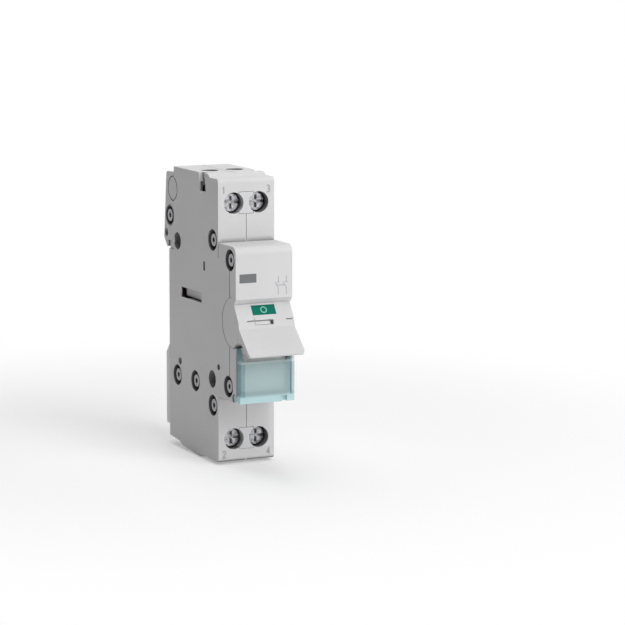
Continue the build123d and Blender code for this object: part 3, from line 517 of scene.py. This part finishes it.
def add_mesh(name, vertices, faces, material, body):
    """A piece from arrays: mesh, finish, slot and body, with its normals made to agree."""
    mesh = bpy.data.meshes.new(name)
    mesh.from_pydata(np.asarray(vertices).tolist(), [], faces)
    mesh.validate()
    mesh.materials.append(material)
    piece = bpy.data.objects.new(name, mesh)
    bpy.context.scene.collection.objects.link(piece)
    bpy.context.view_layer.objects.active = piece
    piece.select_set(True)
    bpy.ops.object.mode_set(mode="EDIT")
    bpy.ops.mesh.select_all(action="SELECT")
    bpy.ops.mesh.normals_make_consistent(inside=False)
    bpy.ops.object.mode_set(mode="OBJECT")
    piece.select_set(False)
    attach(piece, body)
    return piece


def place_on(vertices, origin, across, up):
    """Plane vertices (across, up, out) moved into the frame: out is across turned to up."""
    across, up = np.asarray(across, float), np.asarray(up, float)
    out = np.cross(across, up)
    return np.asarray(origin) + vertices @ np.stack([across, up, out])


def join_shapes(shapes):
    """Several (vertices, faces) pairs as one, with the faces' numbers moved on."""
    vertices, faces, start = [], [], 0
    for points, loops in shapes:
        vertices.append(points)
        faces += [[corner + start for corner in loop] for loop in loops]
        start += len(points)
    return np.vstack(vertices), faces


# %% [markdown]
# Three inks are enough: a dark grey for the field on the nose, a faint grey for the fine
# lines and numerals, and a pale green for the marks on the flags. The print sits a few
# hundredths of a millimetre proud, as pad print does.

# %% Inks
dark_ink = moulded_plastic("dark_print", (106, 108, 110), 0.6, 5200.0, 0.006, darkest=0.8)
pale_ink = moulded_plastic("pale_print", (140, 200, 182), 0.5, 5200.0, 0.003, darkest=0.8)
faint_ink = moulded_plastic("faint_print", (172, 173, 177), 0.6, 5200.0, 0.003, darkest=0.8)
ink_height = 0.03 * MM
print("inks", dark_ink.name, pale_ink.name, faint_ink.name, "height", ink_height)

# %% [markdown]
# The nose carries a plain grey field and a small wiring symbol: two poles, each a line from
# a terminal, an open contact and a line out again. The drawing is given as short paths.

# %% Print on the nose
nose_front = np.array([0.0, nose_y, 0.0])
ACROSS, UP = (1, 0, 0), (0, 0, 1)
field_low, field_high = np.array([-7.6, 11.0]) * MM, np.array([-2.4, 13.5]) * MM
field_middle = (field_low[1] + field_high[1]) / 2
points, faces = ribbon([(field_low[0], field_middle), (field_high[0], field_middle)],
                       field_high[1] - field_low[1], ink_height)
placed = place_on(points, nose_front, ACROSS, UP)
add_mesh("nose_print_field", placed, faces, dark_ink, "base")

line_width = 0.22 * MM
symbol_low, symbol_high = 7.2 * MM, 12.4 * MM
contact_low, contact_high = 9.0 * MM, 10.7 * MM
pole_places, slant, bar_half = (4.4 * MM, 6.9 * MM), 0.9 * MM, 0.35 * MM
tie_shift, tie_height = 0.5 * MM, 9.85 * MM
symbol_lines = []
for pole_x in pole_places:
    symbol_lines += [
        [(pole_x, symbol_low), (pole_x, contact_low)],
        [(pole_x, contact_low), (pole_x - slant, contact_high)],
        [(pole_x, contact_high), (pole_x, symbol_high)],
        [(pole_x - bar_half, contact_high), (pole_x + bar_half, contact_high)],
    ]
symbol_lines.append([(pole_x - tie_shift, tie_height) for pole_x in pole_places])
points, faces = join_shapes([ribbon(line, line_width, ink_height) for line in symbol_lines])
placed = place_on(points, nose_front, ACROSS, UP)
add_mesh("nose_print_symbol", placed, faces, faint_ink, "base")
print("print on the nose", len(symbol_lines), "lines", len(points), "points")

# %% [markdown]
# Off is a ring and on is a bar. Each mark lies on its flag, whose plane is read from the
# flag's own mesh: the face with the largest area gives the middle and the outward direction.


# %% Marks on the flags
def outer_face(node_name, direction):
    """Middle and normal of the node's largest face that looks along the direction."""
    parallel, flatness = 0.999, 0.01 * MM
    mesh = nodes[node_name].data
    count = len(mesh.polygons)
    normals, areas, centres = np.empty(count * 3), np.empty(count), np.empty(count * 3)
    mesh.polygons.foreach_get("normal", normals)
    mesh.polygons.foreach_get("area", areas)
    mesh.polygons.foreach_get("center", centres)
    normals, centres = normals.reshape(-1, 3), centres.reshape(-1, 3)
    weight = areas * np.clip(normals @ np.asarray(direction), 0, None)
    best = normals[np.argmax(weight)]
    alike = np.sum(normals * best, axis=1) > parallel
    reach = centres @ best
    front = alike & (reach > reach[alike].max() - flatness)
    return np.average(centres[front], axis=0, weights=areas[front]), best


ring_radius, ring_line, ring_steps = 0.85 * MM, 0.26 * MM, 48
mark_half, mark_line = 1.0 * MM, 0.45 * MM
off_facing, on_facing = (0, -0.5, 0.86), (0, -0.8, -0.6)
ring_turn = np.linspace(0, 2 * np.pi, ring_steps, endpoint=False)
ring_path = np.stack([np.cos(ring_turn), np.sin(ring_turn)], axis=1) * ring_radius
bar_path = [(0, -mark_half), (0, mark_half)]
flag_marks = {
    "off": ("off_flag", off_facing, ribbon(ring_path, ring_line, ink_height, closed=True)),
    "on": ("on_flag", on_facing, ribbon(bar_path, mark_line, ink_height)),
}
for mark, (node_name, direction, (points, faces)) in flag_marks.items():
    middle, normal = outer_face(node_name, direction)
    placed = place_on(points, middle, ACROSS, np.cross(normal, ACROSS))
    add_mesh(f"{mark}_mark", placed, faces, pale_ink, "toggle_lever")
    print(mark, "mark at", np.round(middle / MM, 2), "facing", np.round(normal, 2))

# %% [markdown]
# The thin slots in the toggle hold the strips of its locking slide. Their top edges lie a
# little below the toggle's face, so the slots read as grey lines and not as black ones. The
# slot's mouth and floor are measured from the toggle's pivot, and the height of the face is
# found by casting a ray at the toggle beside the slot.


# %% Lock strips
def ridged_strip(start, end, surface, down, depth, pitch=0.8 * MM):
    """A strip along X with an arched top: its profile is half a circle on two walls, and the
    half circle sinks and rises by a cosine along X, which makes the ridges of a grip."""
    side = np.cross(down, ACROSS)
    half_width, ridge, steps = 0.14 * MM, 0.06 * MM, 8
    arch = np.linspace(0, np.pi, steps + 1)
    across_profile = np.concatenate([[-half_width], -half_width * np.cos(arch), [half_width]])
    down_profile = np.concatenate([[depth], half_width * (1 - np.sin(arch)), [depth]])
    stations = np.linspace(start, end, int((end - start) / pitch * steps) + 2)
    sink = ridge * (0.5 - 0.5 * np.cos(2 * np.pi * (stations - start) / pitch))
    count, sides = len(stations), len(arch) + 2
    depths = down_profile[None, :] + sink[:, None] * (down_profile < depth)[None, :]
    points = surface + across_profile[None, :, None] * side + depths[:, :, None] * down
    points[:, :, 0] = stations[:, None]
    return points.reshape(-1, 3), tube_faces(count, sides)


joints = {joint["name"]: joint for joint in frame["record"]["behaviour"]["joints"]}
pivot = np.array(joints["toggle_swing"]["pos_m"])
along = outer_face("on_flag", on_facing)[1]
over = np.cross(along, ACROSS)
mouth_along, mouth_over = 2.7 * MM, 3.435 * MM
floor_along, floor_over = 1.86 * MM, 1.42 * MM
slot_mouth = pivot + mouth_along * along + mouth_over * over
slot_floor = pivot + floor_along * along + floor_over * over
down = (slot_floor - slot_mouth) / np.linalg.norm(slot_floor - slot_mouth)
ray_height, ray_x = 2 * MM, -6.3 * MM
beside_slot = slot_mouth - down * ray_height + (ray_x, 0, 0)
found, surface, _, _ = nodes["toggle"].ray_cast(Vector(beside_slot), Vector(down))
top_gap = 0.22 * MM
surface = np.array(surface) + down * top_gap
strip_depth = float((slot_floor - surface) @ down)
strip_spans = ((-5.8 * MM, 1.0 * MM), (6.3 * MM, 8.0 * MM))
points, faces = join_shapes(
    [ridged_strip(start, end, surface, down, strip_depth) for start, end in strip_spans]
)
add_mesh("lock_strips", points, faces, finishes["toggle"], "toggle_lever")
print("lock strips", found, np.round(surface / MM, 2), "depth", round(strip_depth / MM, 2))

# %% [markdown]
# The terminals are numbered 1 and 2 on the left pole, 3 and 4 on the right one. A numeral is
# a few strokes on a unit field, scaled to its width and height. It stands slightly proud of
# the wall, in a grey that is a little darker than the housing.

# %% Terminal numerals
digit_strokes = {
    1: [[(0.2, 0.75), (0.5, 1.0), (0.5, 0.0)]],
    2: [[(0.05, 0.75), (0.2, 0.95), (0.5, 1.0), (0.8, 0.9), (0.85, 0.65), (0.1, 0.0), (0.9, 0.0)]],
    3: [[(0.1, 0.9), (0.4, 1.0), (0.8, 0.85), (0.75, 0.6), (0.4, 0.53), (0.8, 0.42), (0.85, 0.15),
         (0.45, 0.0), (0.08, 0.12)]],
    4: [[(0.7, 0.0), (0.7, 1.0), (0.05, 0.3), (0.95, 0.3)]],
}
digit_height, digit_width, digit_line, digit_relief = 2.0 * MM, 1.15 * MM, 0.26 * MM, 0.12 * MM
digit_x, upper_digit_z, lower_digit_z = 6.95 * MM, 34.9 * MM, -41.1 * MM
terminal_front = (0, terminal_y, 0)
for number, strokes in digit_strokes.items():
    middle = sum(np.array(corner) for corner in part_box(f"terminal_screw_{number}")) / 2
    foot = (np.sign(middle[0]) * digit_x, upper_digit_z if middle[2] > 0 else lower_digit_z)
    shapes = []
    for stroke in strokes:
        path = (np.array(stroke) - (0.5, 0)) * (digit_width, digit_height) + foot
        shapes.append(ribbon(path, digit_line, digit_relief))
    points, faces = join_shapes(shapes)
    placed = place_on(points, terminal_front, ACROSS, UP)
    add_mesh(f"numeral_{number}", placed, faces, faint_ink, "base")
print("numerals stand on the front at depth", round(terminal_y / MM, 2))

# %% [markdown]
# The coil under the rail clip has to get shorter when the clip is pulled down. So a coil of
# the same size stands in for the CAD one: a round wire along a helix, with a mesh of its own.


# %% Rail clip spring
def coil(low, high, wire, turns, steps=24, sides=10):
    """A helix tube in a box: a centre point goes round the middle at the box's half width
    less half the wire while it climbs evenly, and a small circle is drawn about it in the
    plane of the outward direction and the one square to that and to the wire's run."""
    radius = (high[0] - low[0]) / 2 - wire / 2
    climb = high[2] - low[2] - wire
    count = turns * steps + 1
    turn = np.linspace(0, 2 * np.pi * turns, count)
    outward = np.stack([np.cos(turn), np.sin(turn), np.zeros(count)], axis=1)
    rate = np.full(count, climb / (2 * np.pi * turns))
    run = np.stack([-radius * np.sin(turn), radius * np.cos(turn), rate], axis=1)
    run /= np.linalg.norm(run, axis=1, keepdims=True)
    third = np.cross(run, outward)
    centre = outward * radius + [(low[0] + high[0]) / 2, (low[1] + high[1]) / 2, low[2] + wire / 2]
    centre[:, 2] += turn / turn[-1] * climb
    around = np.linspace(0, 2 * np.pi, sides, endpoint=False)[None, :, None]
    circle = outward[:, None] * np.cos(around) + third[:, None] * np.sin(around)
    rings = centre[:, None] + wire / 2 * circle
    return rings.reshape(-1, 3), tube_faces(count, sides)


spring_wire, spring_turns = 0.35 * MM, 8
spring_low, spring_high = (np.array(corner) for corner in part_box("rail_clip_spring"))
points, faces = coil(spring_low, spring_high, spring_wire, spring_turns)
clip_coil = add_mesh("rail_clip_coil", points, faces, finishes["steel"], "base")
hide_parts("rail_clip_spring")
foot = ((spring_low[0] + spring_high[0]) / 2, (spring_low[1] + spring_high[1]) / 2, spring_low[2])
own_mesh(clip_coil)

# %% [markdown]
# The switch stands on a pale floor in a white room. Away from the switch the floor fades to
# plain white for the camera, so no horizon shows, while near the switch it stays a real
# surface that takes the shadow. The white is only for camera, mirror and see-through rays:
# every other ray meets the grey room, so the background adds no light to the object.


# %% Floor and world
def white_to_camera(tree, shaded, white, fade=None):
    """Mixes plain white into a shaded surface for camera, glossy and transmission rays; the
    camera's share can be multiplied by a fade."""
    rays = tree.nodes.new("ShaderNodeLightPath")
    share = rays.outputs["Is Camera Ray"]
    if fade is not None:
        share = calculate(tree, "MULTIPLY", share, fade)
    for ray in ("Is Glossy Ray", "Is Transmission Ray"):
        share = calculate(tree, "MAXIMUM", share, rays.outputs[ray])
    mix = tree.nodes.new("ShaderNodeMixShader")
    tree.links.new(share, mix.inputs["Fac"])
    tree.links.new(shaded.outputs[0], mix.inputs[1])
    tree.links.new(white.outputs[0], mix.inputs[2])
    return mix


room_strength = 0.02
world = bpy.data.worlds.new("pale_room")
bpy.context.scene.world = world
world.use_nodes = True
world_tree = world.node_tree
world_tree.nodes.clear()
room = world_tree.nodes.new("ShaderNodeBackground")
room.inputs["Color"].default_value = (1, 1, 1, 1)
room.inputs["Strength"].default_value = room_strength
white_room = world_tree.nodes.new("ShaderNodeBackground")
white_room.inputs["Color"].default_value = (1, 1, 1, 1)
room_output = world_tree.nodes.new("ShaderNodeOutputWorld")
room_mix = white_to_camera(world_tree, room, white_room)
world_tree.links.new(room_mix.outputs[0], room_output.inputs["Surface"])

floor_reach, floor_z = 1.5, cad_box[0][2] - 0.2 * MM
floor_tone, floor_roughness = (0.97, 0.97, 0.97, 1), 0.9
fade_start, fade_end, fade_least = 0.07, 0.2, 0.35
corners = np.array([(-1, -1), (1, -1), (1, 1), (-1, 1)]) * floor_reach
floor_mesh = bpy.data.meshes.new("pale_floor")
floor_mesh.from_pydata([(x, y, floor_z) for x, y in corners], [], [(0, 1, 2, 3)])
floor = bpy.data.objects.new("pale_floor", floor_mesh)
bpy.context.scene.collection.objects.link(floor)
floor_material, floor_tree, floor_shader = new_material(
    "floor_paint", floor_tone, floor_roughness
)
place = floor_tree.nodes.new("ShaderNodeTexCoord")
length = floor_tree.nodes.new("ShaderNodeVectorMath")
length.operation = "LENGTH"
fade = floor_tree.nodes.new("ShaderNodeMapRange")
fade.interpolation_type = "SMOOTHSTEP"
fade.inputs["From Min"].default_value = fade_start
fade.inputs["From Max"].default_value = fade_end
fade.inputs["To Min"].default_value = fade_least
white_floor = floor_tree.nodes.new("ShaderNodeEmission")
floor_tree.links.new(place.outputs["Object"], length.inputs[0])
floor_tree.links.new(length.outputs["Value"], fade.inputs["Value"])
floor_mix = white_to_camera(floor_tree, floor_shader, white_floor, fade.outputs["Result"])
floor_tree.links.new(floor_mix.outputs[0], floor_tree.nodes["Material Output"].inputs["Surface"])
floor_mesh.materials.append(floor_material)
print("floor at height", round(floor_z / MM, 2), "fades from", fade_start, "to", fade_end)

# %% [markdown]
# Four soft boxes: a large key from the front and the right, a higher one that lets the label
# cover throw a shadow on the front below it, and two lids of light above. The left side of
# the switch stays clearly darker than its front, which makes the steps of the housing read.


# %% Lights
def soft_box(name, place, target, size, energy):
    """A square area light at a place, aimed at a target."""
    light = bpy.data.lights.new(name, "AREA")
    light.size = size
    light.energy = energy
    holder = bpy.data.objects.new(name, light)
    aim = (Vector(target) - Vector(place)).normalized()
    turned = aim.to_track_quat("-Z", "Y").to_matrix().to_4x4()
    holder.matrix_world = Matrix.Translation(place) @ turned
    bpy.context.scene.collection.objects.link(holder)


object_middle = tuple((np.array(cad_box[0]) + np.array(cad_box[1])) / 2)
# Each lamp: its place in metres, its side in metres and its energy in watts.
lamps = {
    "key_front": ((0.35, -0.9, 0.35), 0.6, 4.2),
    "high_front": ((0.1, -0.75, 0.75), 0.5, 3.5),
    "lid": ((0.0, -0.1, 0.9), 0.7, 3.1),
    "back_lid": ((0.0, 0.45, 0.85), 0.6, 2.6),
}
for lamp_name, (lamp_place, lamp_side, lamp_energy) in lamps.items():
    soft_box(lamp_name, lamp_place, object_middle, lamp_side, lamp_energy)
print("lamps", list(lamps))

# %% [markdown]
# The camera stands where the photograph was taken: a little to the left, a little above, and
# far away with a long lens. The shift puts the switch left of the middle of the frame.

# %% Camera
turn, rise, roll = radians(-24.356), radians(8.888), radians(-0.086)
distance, lens, sensor = 780.1 * MM, 155.55, 36.0
shift_x, shift_y, nearest = 0.1290, 0.0039, 0.01
aim_point = Vector((0, -25.4 * MM, -1.5 * MM))
back = Vector((sin(turn) * cos(rise), -cos(turn) * cos(rise), sin(rise)))
lens_data = bpy.data.cameras.new("portrait")
lens_data.sensor_width = sensor
lens_data.lens = lens
lens_data.shift_x = shift_x
lens_data.shift_y = shift_y
lens_data.clip_start = nearest
camera = bpy.data.objects.new("portrait", lens_data)
bpy.context.scene.collection.objects.link(camera)
camera.matrix_world = (
    Matrix.Translation(aim_point + back * distance)
    @ back.to_track_quat("Z", "Y").to_matrix().to_4x4()
    @ Matrix.Rotation(roll, 4, "Z")
)
bpy.context.scene.camera = camera
bpy.context.scene.view_settings.view_transform = "Standard"
print("camera at", np.round(np.array(camera.matrix_world.translation), 3))
